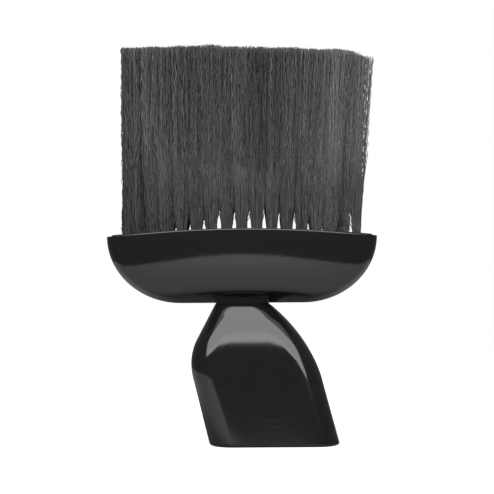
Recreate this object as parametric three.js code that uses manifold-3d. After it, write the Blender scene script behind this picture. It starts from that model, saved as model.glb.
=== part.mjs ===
// A neck duster brush that stands on its own handle, modelled as the pieces that it is assembled from.
// Millimetres. +Z is up, -Y is the front and +X is to the right of someone who faces the front.
// The origin is on the resting face, straight below the middle of the head.
import * as THREE from "three";
import { mergeVertices } from "three/addons/utils/BufferGeometryUtils.js";
import Module from "manifold-3d";

const wasm = await Module();
wasm.setup();

// ---- Driving dimensions ----

// Fits
const TOUCH_GAP = 0.3; // between two faces that meet in the assembled brush
const OVERCUT = 5; // how far a cutting tool runs past the face that it opens

// Head: a boat seen from the front, a lens seen from above
const HEAD_HALF_WIDTH = 56.7; // middle to tip
const HEAD_DEPTH_UNDER_TIPS = 28; // keel to tips
const HEAD_KEEL_HALF_LENGTH = 25.7; // flat stretch of the keel
const HEAD_HALF_DEPTH = 16.5; // mid-plane to the middle of the front face
const HEAD_TIP_HALF_DEPTH = 2.6; // mid-plane to the front face at a tip
const HEAD_CROWN_RISE = 3.2; // how far the rim's middle stands above its tips
const HEAD_WALL = 1.8;
const HEAD_LEDGE = 1.5; // step that the block rests on
const HEAD_TUCK = 7.3; // how far the faces curl in at the keel
const BAND_REACH = 17; // depth and height of the chamfer that runs round the hull's edge
const BAND_RISE = 6.5;
const BAND_FLAT = 0.6; // seam land on the mid-plane

// Block and tufts
const BLOCK_LEDGE_DEPTH = 10.2; // middle of the rim down to the ledge
const BLOCK_END_PROUD = 0.5; // how far the block's ends stand above the rim's tips
const COLUMN_DRUM = 85.6; // tuft columns are even steps round a drum of this radius
const COLUMN_ANGLE = THREE.MathUtils.degToRad(4.235);
const END_MARGIN = 8.5; // least distance from a head tip to the axis of the last tuft
const HOLE_DIAMETER = 4.5;
const ROW_LAND = 0.6; // least block wall between the middle row and the others
const ROW_PLACE = 0.62; // where the front and back rows lie, as a share of the block's half-depth there
const HOLE_FLOOR = 2.2; // block left under a tuft
const BRISTLE_LENGTH = 75.9; // from the middle of the rim to the tips of the bristles
const FLARE_HEIGHT = 7; // height above the block at which a tuft has opened out to its full cell
const FLARE_SHARE = 0.94; // width of a tuft there, as a share of its cell
const END_TUFT_HALF_DEPTH = 3.1; // of the tufts with no row in front or behind
const TOP_SPREAD_LEFT = 0.3; // how far the outermost bristles lean out at the top
const TOP_SPREAD_RIGHT = 3.2;
const TOP_SPREAD_DEPTH = 1.06; // how much the field is deeper at the top than at the flare

// Drawing wire
const WIRE_DIAMETER = 0.6;
const LOOP_SHARE = 0.33; // half-width of a wire loop, as a share of the tuft root's radius
const LOOP_RISE = 1.6; // top of a loop above the floor of its hole
const WIRE_TAIL = 2.6;

// Handle
const HANDLE_HEIGHT = 59.1; // resting face to keel
const NECK_HALF_WIDTH = 11.3;
const NECK_HALF_DEPTH = 8;
const BASE_LEFT = -13.8; // ends of the foot at the resting face
const BASE_RIGHT = 40.4;
const BASE_HALF_DEPTH = 16.5;
const LEFT_SLOPE = -0.25; // dx/dz of the handle's straight flanks
const RIGHT_SLOPE = -0.266;
const LEFT_SHOULDER_Z = 36.6; // where the left flank would turn if it were not rounded
const LEFT_SHOULDER_ROUND = 9; // length of flank that the rounding takes up below the turn
const RIGHT_FLANK_TOP_Z = 27.4; // where the right flank starts to curl in
const FRONT_TOP_Z = 35; // where the front starts to roll back
const FRONT_TOP_HALF_DEPTH = 14.3;
const CORNER_RADIUS = 10; // upright edges, seen from above
const HANDLE_WALL = 2.4;
const WEB_THICKNESS = 6; // solid top of the handle

// Foot plate
const PLATE_THICKNESS = 1.2;
const PLATE_EDGE_INSET = 1.8; // rounding of the lower edge, at the resting face
const PLATE_EDGE_MID_INSET = 0.5; // and at the height of the same value above it
const LIP_HEIGHT = 3.6;
const LIP_WALL = 1.6;

// Joint of head and handle
const SPIGOT_HALF_WIDTH = 8;
const SPIGOT_HALF_DEPTH = 4.5;
const SPIGOT_HEIGHT = 2.7;
const SPIGOT_RADIUS = 2;
const BOSS_WALL = 3; // head material round the spigot's socket, and the pad that the neck meets
const BOSS_HEIGHT = 11.5; // keel to the top of the boss
const SCREW_DIAMETER = 4;
const SCREW_REACH = 5.4; // thread above the spigot's top
const SCREW_HEAD_DIAMETER = 7.8;
const SCREW_HEAD_HEIGHT = 2.6;
const WASHER_DIAMETER = 10;
const WASHER_THICKNESS = 1;

// ---- Places that follow from them ----

const keelZ = HANDLE_HEIGHT;
const tipZ = keelZ + HEAD_DEPTH_UNDER_TIPS;
const rimZ = tipZ + HEAD_CROWN_RISE;
const aboveRimZ = rimZ + 4 * BAND_RISE; // clear of the rim, even where the hull's upper edge slopes in
const ledgeZ = rimZ - BLOCK_LEDGE_DEPTH;
const blockBottomZ = ledgeZ + TOUCH_GAP;
const bristleTopZ = rimZ + BRISTLE_LENGTH;
const neckZ = HANDLE_HEIGHT - TOUCH_GAP;
const webBottomZ = neckZ - WEB_THICKNESS;
const spigotTopZ = neckZ + SPIGOT_HEIGHT;
const bossTopZ = keelZ + BOSS_HEIGHT;

// The head's faces are drums: radius and how far behind the mid-plane their axes stand.
const drumRise = HEAD_HALF_DEPTH - HEAD_TIP_HALF_DEPTH;
const drumRadius = (drumRise ** 2 + HEAD_HALF_WIDTH ** 2) / (2 * drumRise);
const drumAxis = drumRadius - HEAD_HALF_DEPTH;
const blockInset = HEAD_WALL + TOUCH_GAP;
const halfDepthInside = (x, inset) =>
  Math.sqrt((drumRadius - inset) ** 2 - x ** 2) - drumAxis;

// Tuft columns
const columnX = (step) => COLUMN_DRUM * Math.sin(step * COLUMN_ANGLE);
const columnsEachSide = Math.floor(
  Math.asin((HEAD_HALF_WIDTH - END_MARGIN) / COLUMN_DRUM) / COLUMN_ANGLE,
);
const holeRadius = HOLE_DIAMETER / 2;
const rootRadius = holeRadius - TOUCH_GAP;
const holeFloorZ = blockBottomZ + HOLE_FLOOR;
const fieldHalfWidth = columnX(columnsEachSide + 0.5);
const rowY = (x) => ROW_PLACE * halfDepthInside(x, blockInset);
const hasOuterRows = (x) => rowY(x) >= 2 * holeRadius + ROW_LAND;
const blockEndZ = tipZ + BLOCK_END_PROUD;
const blockTopZ = (x) =>
  rimZ - (rimZ - blockEndZ) * (x / HEAD_HALF_WIDTH) ** 2;

// Wire loops
const wireRadius = WIRE_DIAMETER / 2;
const loopHalfWidth = LOOP_SHARE * rootRadius;
const loopTopZ = holeFloorZ + LOOP_RISE;
const loopHoleRadius = loopHalfWidth + wireRadius + TOUCH_GAP;
const wireRunZ = blockBottomZ - TOUCH_GAP - wireRadius;

// ---- Materials ----

const standard = (color, roughness, metalness = 0) =>
  new THREE.MeshStandardMaterial({ color, roughness, metalness });
const glossBlack = () => standard(0x0b0b0c, 0.2);
const mouldedBlack = () => standard(0x111112, 0.5);
const bristleGrey = () => standard(0x3b3b3d, 0.6);
const drawnSteel = () => standard(0xb4b6b8, 0.35, 1);
const zincSteel = () => standard(0xa9abae, 0.4, 1);

// ---- Solids ----

// A closed three.js geometry as a manifold-3d solid.
function solid(geometry) {
  const bare = geometry.clone();
  bare.deleteAttribute("normal");
  bare.deleteAttribute("uv");
  const merged = mergeVertices(bare, 1e-4);
  const triangles = [];
  for (let i = 0; i < merged.index.count; i += 3) {
    const [a, b, c] = [0, 1, 2].map((k) => merged.index.getX(i + k));
    if (a !== b && b !== c && c !== a) triangles.push(a, b, c);
  }
  return new wasm.Manifold(
    new wasm.Mesh({
      numProp: 3,
      vertProperties: new Float32Array(merged.attributes.position.array),
      triVerts: new Uint32Array(triangles),
    }),
  );
}

// A manifold-3d solid as a named mesh.
function mesh(name, body, material) {
  const made = body.getMesh();
  const geometry = new THREE.BufferGeometry()
    .setAttribute("position", new THREE.BufferAttribute(made.vertProperties, 3))
    .setIndex(new THREE.BufferAttribute(made.triVerts, 1));
  geometry.computeVertexNormals();
  const piece = new THREE.Mesh(geometry, material);
  piece.name = name;
  return piece;
}

// A stack of horizontal sections. outline(level, corner) gives the x and y of one of `sides` corners,
// counted anticlockwise from +X, and middle(level) the point that a cap's triangles meet at.
function stack(levels, sides, outline, middle) {
  const steps = levels.length - 1;
  const geometry = new THREE.CylinderGeometry(1, 1, 1, sides, steps);
  geometry.rotateX(Math.PI / 2);
  const place = geometry.attributes.position;
  for (let i = 0; i < place.count; i++) {
    const level = Math.round((place.getZ(i) + 0.5) * steps);
    const turn = Math.atan2(place.getY(i), place.getX(i)) / (2 * Math.PI);
    const corner = (Math.round(turn * sides) + sides) % sides;
    const onAxis = Math.hypot(place.getX(i), place.getY(i)) < 0.5;
    const [x, y] = onAxis ? middle(levels[level]) : outline(levels[level], corner);
    place.setXYZ(i, x, y, levels[level]);
  }
  return solid(geometry);
}

// Corner number `corner` of a rounded rectangle with `sides` corners, a multiple of four.
function roundedRectangle(left, right, halfDepth, radius, sides, corner) {
  const perQuarter = sides / 4;
  const quarter = Math.floor(corner / perQuarter);
  const turn = quarter + (corner % perQuarter) / (perQuarter - 1);
  const angle = (turn * Math.PI) / 2;
  const round = Math.min(radius, halfDepth * 0.95, ((right - left) / 2) * 0.95);
  const onRight = quarter === 0 || quarter === 3;
  const onBack = quarter < 2;
  return [
    (onRight ? right - round : left + round) + round * Math.cos(angle),
    (onBack ? halfDepth - round : round - halfDepth) + round * Math.sin(angle),
  ];
}

// An upright rounded bar centred on the origin's axis.
function roundedBar(halfWidth, halfDepth, radius, fromZ, toZ) {
  const sides = 16;
  return stack(
    [fromZ, toZ],
    sides,
    (z, corner) =>
      roundedRectangle(-halfWidth, halfWidth, halfDepth, radius, sides, corner),
    () => [0, 0],
  );
}

// A body of revolution about an upright axis, from [radius, z] pairs that start and end on the axis
// or return to the first pair.
function turned(profile, segments, x = 0, y = 0) {
  const points = profile.map(([radius, z]) => new THREE.Vector2(radius, z));
  const geometry = new THREE.LatheGeometry(points, segments);
  geometry.rotateX(Math.PI / 2).translate(x, y, 0);
  return solid(geometry);
}

const rod = (radius, fromZ, toZ, segments, x = 0, y = 0) =>
  turned([[0, fromZ], [radius, fromZ], [radius, toZ], [0, toZ]], segments, x, y);

// A front view drawn in x and z, extruded along y about the mid-plane. `bevel` rounds its long edges.
function frontView(shape, depth, bevel = { bevelEnabled: false }) {
  const geometry = new THREE.ExtrudeGeometry(shape, {
    depth,
    curveSegments: 8,
    ...bevel,
  });
  geometry.rotateX(Math.PI / 2).translate(0, depth / 2, 0);
  return solid(geometry);
}

// ---- Head ----

// The boat, shrunk all round by `inset` and carried up past its rim.
function boat(inset) {
  const reach = HEAD_HALF_WIDTH - HEAD_KEEL_HALF_LENGTH;
  const shape = new THREE.Shape()
    .moveTo(-HEAD_KEEL_HALF_LENGTH, keelZ)
    .lineTo(HEAD_KEEL_HALF_LENGTH, keelZ)
    .absellipse(HEAD_KEEL_HALF_LENGTH, tipZ, reach, HEAD_DEPTH_UNDER_TIPS, -Math.PI / 2, 0)
    .lineTo(HEAD_HALF_WIDTH, aboveRimZ)
    .lineTo(-HEAD_HALF_WIDTH, aboveRimZ)
    .lineTo(-HEAD_HALF_WIDTH, tipZ)
    .absellipse(
      -HEAD_KEEL_HALF_LENGTH, tipZ, reach, HEAD_DEPTH_UNDER_TIPS, Math.PI, (3 * Math.PI) / 2,
    );
  const hull = frontView(shape, BAND_FLAT, {
    bevelEnabled: true,
    bevelThickness: BAND_REACH,
    bevelSize: BAND_RISE,
    bevelOffset: -BAND_RISE - inset,
    bevelSegments: 1,
  });
  return hull.intersect(drum(drumAxis, inset)).intersect(drum(-drumAxis, inset));
}

// One face of the head: a drum whose lower end curls in.
function drum(axisY, inset) {
  const levels = 8;
  const bottom = keelZ - OVERCUT;
  const profile = [[0, bottom]];
  for (let i = 0; i <= levels; i++) {
    const z = THREE.MathUtils.lerp(bottom, tipZ, i / levels);
    const lean = HEAD_TUCK * ((tipZ - z) / HEAD_DEPTH_UNDER_TIPS) ** 3;
    profile.push([drumRadius - inset - lean, z]);
  }
  profile.push([drumRadius - inset, aboveRimZ], [0, aboveRimZ]);
  return turned(profile, 120, 0, axisY);
}

function headShell() {
  const hull = boat(0).intersect(slab(keelZ - OVERCUT, tipZ, rimZ));
  const pocket = boat(HEAD_WALL).intersect(slab(ledgeZ, aboveRimZ, aboveRimZ));
  const hollow = boat(HEAD_WALL + HEAD_LEDGE);
  const boss = roundedBar(
    SPIGOT_HALF_WIDTH + TOUCH_GAP + BOSS_WALL,
    SPIGOT_HALF_DEPTH + TOUCH_GAP + BOSS_WALL,
    SPIGOT_RADIUS + BOSS_WALL,
    keelZ,
    bossTopZ,
  );
  const socket = roundedBar(
    SPIGOT_HALF_WIDTH + TOUCH_GAP,
    SPIGOT_HALF_DEPTH + TOUCH_GAP,
    SPIGOT_RADIUS + TOUCH_GAP,
    keelZ - OVERCUT,
    spigotTopZ + TOUCH_GAP,
  );
  const pilot = rod(
    SCREW_DIAMETER / 2 + TOUCH_GAP,
    spigotTopZ,
    spigotTopZ + SCREW_REACH + 2 * TOUCH_GAP,
    12,
  );
  return hull.subtract(pocket).subtract(hollow).add(boss).subtract(socket).subtract(pilot);
}

// A slab across the whole head with a flat underside and an arched top.
function slab(bottomZ, endZ, middleZ) {
  const half = HEAD_HALF_WIDTH;
  const shape = new THREE.Shape()
    .moveTo(-half, bottomZ)
    .lineTo(half, bottomZ)
    .lineTo(half, endZ)
    .quadraticCurveTo(0, 2 * middleZ - endZ, -half, endZ);
  return frontView(shape, 4 * HEAD_HALF_DEPTH);
}

// ---- Block, tufts and wires ----

// Every tuft: its row, the side of the mid-plane that the row is on, its column and its axis. Columns
// are counted from the middle of the head, and one that has no room for outer rows has its middle tuft.
function tuftPlaces() {
  const places = [];
  for (const [row, side] of [["middle", 0], ["front", -1], ["back", 1]])
    for (let column = -columnsEachSide; column <= columnsEachSide; column++) {
      const x = columnX(column);
      if (side === 0 || hasOuterRows(x))
        places.push({ row, side, column, x, y: side * rowY(x) });
    }
  return places;
}

function tuftName({ row, column }) {
  if (column === 0) return `tuft_${row}_centre`;
  return `tuft_${row}_${column < 0 ? "left" : "right"}_${Math.abs(column)}`;
}

function tuftBlock(places) {
  let block = boat(blockInset).intersect(slab(blockBottomZ, blockEndZ, rimZ));
  for (const { x, y } of places)
    block = block
      .subtract(rod(holeRadius, holeFloorZ, rimZ + OVERCUT, 10, x, y))
      .subtract(rod(loopHoleRadius, blockBottomZ - OVERCUT, holeFloorZ + TOUCH_GAP, 6, x, y));
  return block;
}

// One tuft: a root that fills its hole, then a cell that leans and opens towards the top.
function tuft({ side, column, x, y }) {
  const outer = hasOuterRows(x);
  const half = outer ? rowY(x) / 2 : END_TUFT_HALF_DEPTH;
  const near = side === 0 ? -half : side * half;
  const far = side === 0 ? half : side * 3 * half;
  const rootZ = holeFloorZ + TOUCH_GAP;
  const exitZ = blockTopZ(x) + TOUCH_GAP;
  const flareZ = blockTopZ(x) + FLARE_HEIGHT;
  const topX = (at) =>
    at + ((at > 0 ? TOP_SPREAD_RIGHT : TOP_SPREAD_LEFT) * at) / fieldHalfWidth;
  const edges = [columnX(column - 0.5), columnX(column + 0.5)];
  const sides = 8;
  const rootHalf = rootRadius * Math.cos(Math.PI / sides);
  const cell = (z) => {
    if (z <= exitZ) return { x, y, halfWidth: rootHalf, halfDepth: rootHalf };
    const atTop = z > flareZ;
    const [left, right] = atTop ? edges.map(topX) : edges;
    const share = atTop ? 1 : FLARE_SHARE;
    const deeper = atTop ? TOP_SPREAD_DEPTH : 1;
    return {
      x: (left + right) / 2,
      y: (deeper * (near + far)) / 2,
      halfWidth: (share * (right - left) - TOUCH_GAP) / 2,
      halfDepth: (share * deeper * Math.abs(far - near) - TOUCH_GAP) / 2,
    };
  };
  const softCorner = 0.72;
  const bundle = stack(
    [rootZ, exitZ, flareZ, bristleTopZ],
    sides,
    (z, corner) => {
      const at = cell(z);
      const angle = ((corner + 0.5) * 2 * Math.PI) / sides;
      const straight = z <= exitZ ? Math.tan(Math.PI / sides) : softCorner;
      const part = (value) => Math.sign(value) * (Math.abs(value) > 0.5 ? 1 : straight);
      return [
        at.x + at.halfWidth * part(Math.cos(angle)),
        at.y + at.halfDepth * part(Math.sin(angle)),
      ];
    },
    (z) => [cell(z).x, cell(z).y],
  );
  const slotTopZ = loopTopZ + wireRadius + TOUCH_GAP;
  const slotBottomZ = rootZ - OVERCUT;
  const slot = new THREE.BoxGeometry(
    2 * (loopHalfWidth + wireRadius + TOUCH_GAP),
    2 * (wireRadius + TOUCH_GAP),
    slotTopZ - slotBottomZ,
  ).translate(x, y, (slotTopZ + slotBottomZ) / 2);
  return bundle.subtract(solid(slot));
}

// A route of straight stretches whose corners fall on even steps of its parameter.
class Stitching extends THREE.Curve {
  constructor(corners) {
    super();
    this.corners = corners;
  }
  getPoint(t, target = new THREE.Vector3()) {
    const at = THREE.MathUtils.clamp(t, 0, 1) * (this.corners.length - 1);
    const i = Math.min(Math.floor(at), this.corners.length - 2);
    return target.lerpVectors(this.corners[i], this.corners[i + 1], at - i);
  }
  getUtoTmapping(u) {
    return u;
  }
}

// The wire of one row: it runs under the block and rises through each hole in a loop.
function drawWire(row) {
  const corners = [];
  const corner = (x, y, z) => corners.push(new THREE.Vector3(x, y, z));
  const first = row[0];
  const last = row[row.length - 1];
  corner(first.x - WIRE_TAIL, first.y, wireRunZ);
  for (const { x, y } of row) {
    corner(x - loopHalfWidth, y, wireRunZ);
    corner(x - loopHalfWidth, y, loopTopZ);
    corner(x + loopHalfWidth, y, loopTopZ);
    corner(x + loopHalfWidth, y, wireRunZ);
  }
  corner(last.x + WIRE_TAIL, last.y, wireRunZ);
  const section = new THREE.Shape(
    [0, 1, 2, 3].map((quarter) => {
      const angle = ((quarter + 0.5) * Math.PI) / 2;
      return new THREE.Vector2(Math.cos(angle), Math.sin(angle)).multiplyScalar(wireRadius);
    }),
  );
  return solid(
    new THREE.ExtrudeGeometry(section, {
      steps: corners.length - 1,
      extrudePath: new Stitching(corners),
    }),
  );
}

// ---- Handle ----

// The x at which an upright curve, drawn as x and z, crosses the height z.
function crossing(curve, z) {
  let low = 0;
  let high = 1;
  for (let i = 0; i < 40; i++) {
    const middle = (low + high) / 2;
    if (curve.getPoint(middle).y < z) low = middle;
    else high = middle;
  }
  return curve.getPoint(low).x;
}

const point = (x, z) => new THREE.Vector2(x, z);
const leftFlank = (z) => BASE_LEFT + LEFT_SLOPE * z;
const rightFlank = (z) => BASE_RIGHT + RIGHT_SLOPE * z;

const shoulder = point(leftFlank(LEFT_SHOULDER_Z), LEFT_SHOULDER_Z);
const leftNeck = point(-NECK_HALF_WIDTH, neckZ);
const afterShoulder = shoulder.clone().lerp(leftNeck, 0.34);
const shoulderStartZ = LEFT_SHOULDER_Z - LEFT_SHOULDER_ROUND;
const leftRound = new THREE.QuadraticBezierCurve(
  point(leftFlank(shoulderStartZ), shoulderStartZ), shoulder, afterShoulder,
);
const rightCurl = new THREE.CubicBezierCurve(
  point(rightFlank(RIGHT_FLANK_TOP_Z), RIGHT_FLANK_TOP_Z),
  point(rightFlank(RIGHT_FLANK_TOP_Z + 11), RIGHT_FLANK_TOP_Z + 11),
  point(NECK_HALF_WIDTH + 10.6, neckZ - 8.6),
  point(NECK_HALF_WIDTH, neckZ),
);
const frontRoll = new THREE.CubicBezierCurve(
  point(FRONT_TOP_HALF_DEPTH, FRONT_TOP_Z),
  point(FRONT_TOP_HALF_DEPTH - 0.4, FRONT_TOP_Z + 7.5),
  point(NECK_HALF_DEPTH + 3.8, neckZ - 4.8),
  point(NECK_HALF_DEPTH, neckZ),
);

function handleLeft(z) {
  if (z <= shoulderStartZ) return leftFlank(z);
  if (z <= afterShoulder.y) return crossing(leftRound, z);
  const share = (z - afterShoulder.y) / (leftNeck.y - afterShoulder.y);
  return THREE.MathUtils.lerp(afterShoulder.x, leftNeck.x, share);
}

const handleRight = (z) =>
  z <= RIGHT_FLANK_TOP_Z ? rightFlank(z) : crossing(rightCurl, z);

const handleHalfDepth = (z) =>
  z <= FRONT_TOP_Z
    ? THREE.MathUtils.lerp(BASE_HALF_DEPTH, FRONT_TOP_HALF_DEPTH, z / FRONT_TOP_Z)
    : crossing(frontRoll, z);

// A stack of handle sections, each shrunk by inset(z).
function handleStack(levels, inset, sides) {
  return stack(
    levels,
    sides,
    (z, corner) => {
      const by = inset(z);
      return roundedRectangle(
        handleLeft(z) + by, handleRight(z) - by, handleHalfDepth(z) - by,
        Math.max(CORNER_RADIUS - by, 0.5), sides, corner,
      );
    },
    (z) => [(handleLeft(z) + handleRight(z)) / 2, 0],
  );
}

// Levels from one straight lower stretch and even steps above it.
function handleLevels(bottomZ, topZ, steps) {
  const levels = [bottomZ];
  for (let i = 0; i <= steps; i++)
    levels.push(THREE.MathUtils.lerp(RIGHT_FLANK_TOP_Z, topZ, i / steps));
  return levels;
}

function handleShell() {
  const bottomZ = PLATE_THICKNESS + TOUCH_GAP;
  const outer = handleStack(handleLevels(bottomZ, neckZ, 12), () => 0, 28);
  const cavity = handleStack(
    handleLevels(bottomZ - TOUCH_GAP, webBottomZ, 7), () => HANDLE_WALL, 20,
  );
  const spigot = roundedBar(
    SPIGOT_HALF_WIDTH, SPIGOT_HALF_DEPTH, SPIGOT_RADIUS, neckZ - WEB_THICKNESS / 2, spigotTopZ,
  );
  const screwHole = rod(
    SCREW_DIAMETER / 2 + TOUCH_GAP, webBottomZ - OVERCUT, spigotTopZ + OVERCUT, 12,
  );
  return outer.subtract(cavity).add(spigot).subtract(screwHole);
}

function basePlate() {
  const edge = PLATE_EDGE_MID_INSET;
  const plate = handleStack(
    [0, edge, PLATE_THICKNESS],
    (z) => (z === 0 ? PLATE_EDGE_INSET : z === edge ? edge : 0),
    28,
  );
  const lipTopZ = PLATE_THICKNESS + LIP_HEIGHT;
  const lipInset = HANDLE_WALL + TOUCH_GAP;
  const lip = handleStack([PLATE_THICKNESS / 2, lipTopZ], () => lipInset, 20);
  const lipHollow = handleStack(
    [PLATE_THICKNESS, lipTopZ + OVERCUT], () => lipInset + LIP_WALL, 20,
  );
  return plate.add(lip.subtract(lipHollow));
}

// ---- Clamp ----

function clampWasher() {
  const topZ = webBottomZ - TOUCH_GAP;
  const inner = SCREW_DIAMETER / 2 + TOUCH_GAP;
  const outer = WASHER_DIAMETER / 2;
  const bottomZ = topZ - WASHER_THICKNESS;
  const ring = [[inner, bottomZ], [outer, bottomZ], [outer, topZ], [inner, topZ], [inner, bottomZ]];
  return turned(ring, 16);
}

function clampScrew() {
  const seatZ = webBottomZ - 2 * TOUCH_GAP - WASHER_THICKNESS;
  const headZ = seatZ - SCREW_HEAD_HEIGHT;
  const headRadius = SCREW_HEAD_DIAMETER / 2;
  const shank = SCREW_DIAMETER / 2;
  const tip = spigotTopZ + SCREW_REACH;
  const chamfer = 0.7;
  return turned(
    [
      [0, headZ],
      [headRadius - chamfer, headZ],
      [headRadius, headZ + chamfer],
      [headRadius, seatZ],
      [shank, seatZ],
      [shank, tip - chamfer],
      [shank - chamfer, tip],
      [0, tip],
    ],
    12,
  );
}

// ---- Assembly ----

const brush = new THREE.Group();
const places = tuftPlaces();
brush.add(mesh("head_shell", headShell(), glossBlack()));
brush.add(mesh("tuft_block", tuftBlock(places), mouldedBlack()));
for (const place of places) brush.add(mesh(tuftName(place), tuft(place), bristleGrey()));
for (const row of ["middle", "front", "back"]) {
  const stitched = places.filter((place) => place.row === row);
  brush.add(mesh(`draw_wire_${row}`, drawWire(stitched), drawnSteel()));
}
brush.add(mesh("handle_shell", handleShell(), glossBlack()));
brush.add(mesh("base_plate", basePlate(), glossBlack()));
brush.add(mesh("clamp_washer", clampWasher(), zincSteel()));
brush.add(mesh("clamp_screw", clampScrew(), zincSteel()));

export default brush;
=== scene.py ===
"""Builds the looks of a barber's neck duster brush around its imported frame.

The brush stands on the flat foot of its own handle. Metres, +Z up, -Y the front. Sizes that the frame
states are read from it; the others are properties in the sidebar, written in millimetres below.
"""

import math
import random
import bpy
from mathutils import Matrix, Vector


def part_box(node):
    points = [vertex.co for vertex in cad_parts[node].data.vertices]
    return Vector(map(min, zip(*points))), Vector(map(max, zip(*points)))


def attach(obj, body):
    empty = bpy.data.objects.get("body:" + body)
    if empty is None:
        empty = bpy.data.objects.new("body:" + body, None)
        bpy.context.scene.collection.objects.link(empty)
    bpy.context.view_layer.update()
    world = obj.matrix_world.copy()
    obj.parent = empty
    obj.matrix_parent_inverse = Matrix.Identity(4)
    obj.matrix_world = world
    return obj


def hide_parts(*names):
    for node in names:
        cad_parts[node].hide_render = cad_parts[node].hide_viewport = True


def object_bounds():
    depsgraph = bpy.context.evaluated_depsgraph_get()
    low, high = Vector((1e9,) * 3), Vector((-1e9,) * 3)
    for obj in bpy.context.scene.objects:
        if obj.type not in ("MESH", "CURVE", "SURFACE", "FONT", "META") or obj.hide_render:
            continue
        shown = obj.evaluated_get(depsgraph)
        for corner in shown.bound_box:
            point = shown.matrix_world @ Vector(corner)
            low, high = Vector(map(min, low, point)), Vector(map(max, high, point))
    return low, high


bl_info = {
    "name": "Neck Duster Brush",
    "version": (1, 0, 0),
    "blender": (4, 5, 0),
    "location": "3D View > Sidebar > Neck Duster",
    "description": "Models a neck duster: head cover, tufts of crimped bristle, handle and foot",
    "category": "Add Mesh",
}

import bmesh
import bpy
from bpy.props import FloatProperty, FloatVectorProperty, IntProperty, PointerProperty
from mathutils import Vector

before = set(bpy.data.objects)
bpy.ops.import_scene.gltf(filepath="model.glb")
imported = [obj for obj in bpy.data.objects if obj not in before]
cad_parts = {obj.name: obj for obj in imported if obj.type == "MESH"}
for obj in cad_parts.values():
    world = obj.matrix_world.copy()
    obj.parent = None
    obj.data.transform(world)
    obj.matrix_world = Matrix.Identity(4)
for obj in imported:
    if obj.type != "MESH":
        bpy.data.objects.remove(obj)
cad_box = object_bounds()

MM = 0.001
GAP = 0.3 * MM  # between two faces that meet
OVERCUT = 5 * MM  # how far a cutting tool runs past the face that it opens
PILOT_RADIUS = 2.3 * MM
PILOT_DEPTH = 5.7 * MM  # of the screw's pilot hole above the spigot's socket

head_low, head_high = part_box("head_shell")
handle_low, handle_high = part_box("handle_shell")
foot_low, foot_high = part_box("base_plate")
block_low, block_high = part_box("tuft_block")
tuft_low, tuft_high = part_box("tuft_middle_centre")


# ---- Properties ----


def length(name, description, millimetres):
    return FloatProperty(
        name=name, description=description, default=millimetres * MM, unit="LENGTH", precision=5
    )


def colour(name, description, default):
    return FloatVectorProperty(
        name=name, description=description, default=default, subtype="COLOR", min=0, max=1
    )


class HeadSizes(bpy.types.PropertyGroup):
    """The boat-shaped cover that holds the bristle block."""

    keel_half: length("Half keel", "Half of the flat stretch of the keel", 25.7)
    tip_half_depth: length("Tip half depth", "Mid-plane to the front face at a tip", 2.6)
    crown: length("Crown rise", "How far the rim's middle stands above its tips", 3.2)
    wall: length("Wall", "Thickness of the cover", 1.8)
    ledge: length("Ledge", "Step inside the cover that the block rests on", 1.5)
    tuck: length("Tuck", "How far the faces curl in at the keel", 7.3)
    band_rise: length("Band rise", "Height of the full chamfer round the edge", 6.5)
    band_reach: length("Band reach", "Depth of the full chamfer round the edge", 17.0)
    land: length("Seam land", "Half-width of the flat seam round the edge", 0.3)
    crease: length("Crease softness", "Blend between the edge band and the faces", 2.0)
    rim_round: length("Rim rounding", "Radius of the rim's outer edge", 0.6)
    ledge_depth: length("Ledge depth", "Middle of the rim down to the ledge", 10.2)
    boss_wall: length("Boss wall", "Material round the spigot's socket", 3.0)
    boss_height: length("Boss height", "Keel to the top of the boss", 11.5)
    columns: IntProperty(name="Tip columns", description="Grid columns round a tip", default=38)
    rows: IntProperty(name="Rows", description="Grid rows from keel to rim", default=56)


class TuftSizes(bpy.types.PropertyGroup):
    """The tufts and the crimped fibres in them."""

    fibres: IntProperty(name="Fibres", description="Fibres in a tuft", default=190, min=1)
    knots: IntProperty(name="Points", description="Points along a fibre", default=24, min=8)
    thickness: length("Fibre thickness", "Diameter of a fibre", 0.3)
    crimp: length("Crimp", "Sideways swing of a fibre between two points", 0.4)
    sway: length("Sway", "Slow sideways swing along a fibre", 0.7)
    wander: length("Wander", "How far a fibre strays sideways at its tip", 1.6)
    ragged: length("Ragged", "Spread of the fibre lengths", 0.35)
    mouth: length("Mouth radius", "Radius of a tuft where it leaves its hole", 2.0)
    gap_height: length("Gap height", "Height of the gap between two middle tufts", 12.4)
    clumps: IntProperty(name="Clumps", description="Locks that a tuft's fibres gather in", default=8)


class HandleSizes(bpy.types.PropertyGroup):
    """The slanted handle and the foot plate that closes it."""

    neck_half: length("Half neck", "Half-width of the handle's top", 11.3)
    neck_half_depth: length("Neck half depth", "Half-depth of the handle's top", 8.0)
    foot_left: length("Foot left", "Left end of the foot", -13.8)
    foot_right: length("Foot right", "Right end of the foot", 40.4)
    foot_half_depth: length("Foot half depth", "Mid-plane to the front of the foot", 16.5)
    front_half_depth: length("Front half depth", "Half-depth where the front starts to roll", 14.3)
    corner: length("Corner radius", "Rounding of the upright edges", 10.0)
    wall: length("Wall", "Thickness of the handle", 2.4)
    web: length("Web", "Solid top of the handle", 6.0)
    lip: length("Lip", "Height of the foot plate's locating lip", 3.6)
    foot_round: length("Foot rounding", "Rounding of the lower edge", 1.8)
    spigot_half: length("Half spigot", "Half-width of the spigot", 8.0)
    spigot_half_depth: length("Spigot half depth", "Half-depth of the spigot", 4.5)
    spigot_round: length("Spigot rounding", "Radius of the spigot's upright edges", 2.0)


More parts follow.
